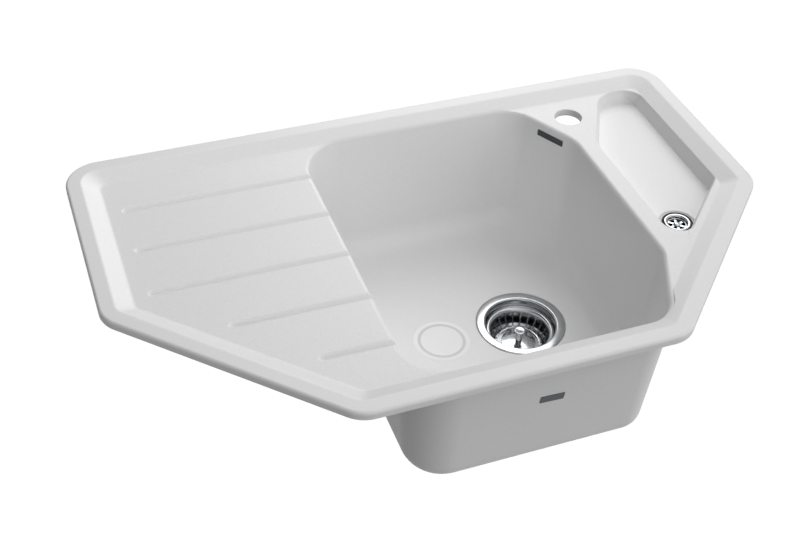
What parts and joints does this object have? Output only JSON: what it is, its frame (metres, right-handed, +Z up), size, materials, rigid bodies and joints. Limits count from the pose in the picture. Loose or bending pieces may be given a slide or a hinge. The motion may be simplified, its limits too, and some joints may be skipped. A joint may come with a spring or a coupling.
{
  "type": "corner kitchen sink",
  "caption": "Inset corner kitchen sink in pale composite: bowl, ribbed drainer, half-bowl, tap hole, lift-out basket strainer and grid waste.",
  "frame": {"origin": "on the worktop plane, at the middle of the rim's straight back edge", "axes": "+X along the back edge from the drainer towards the half-bowl, +Y towards the wall behind the sink, +Z up"},
  "size_m": [0.79, 0.49, 0.288],
  "materials": {
    "composite": "fine-grained matt composite",
    "stainless": "polished stainless sheet",
    "chrome": "bright plated",
    "rubber": "matt black",
    "plastic": "moulded dark grey",
    "brass": "turned"
  },
  "bodies": {
    "sink": {"basin": "composite", "waste_flange": "stainless", "flange_gasket": "rubber", "body_washer": "rubber", "waste_body": "plastic", "body_insert": "brass", "bolt_washer": "stainless", "centre_bolt": "stainless", "inlet_seal": "rubber", "inlet_tail": "plastic", "inlet_nut": "plastic", "grid_seal": "rubber", "tray_grid": "chrome", "grid_screw": "chrome", "tray_washer": "rubber", "tray_body": "plastic", "tray_insert": "brass"},
    "basket": {"basket_cage": "stainless", "basket_dish": "stainless", "basket_stem": "chrome", "basket_knob": "chrome", "basket_seal": "rubber", "basket_clip": "stainless"}
  },
  "joints": [
    {"name": "basket_lift", "type": "slide", "parent": "sink", "child": "basket", "axis": [0, 0, 1], "range_m": [0, 0.24]}
  ]
}
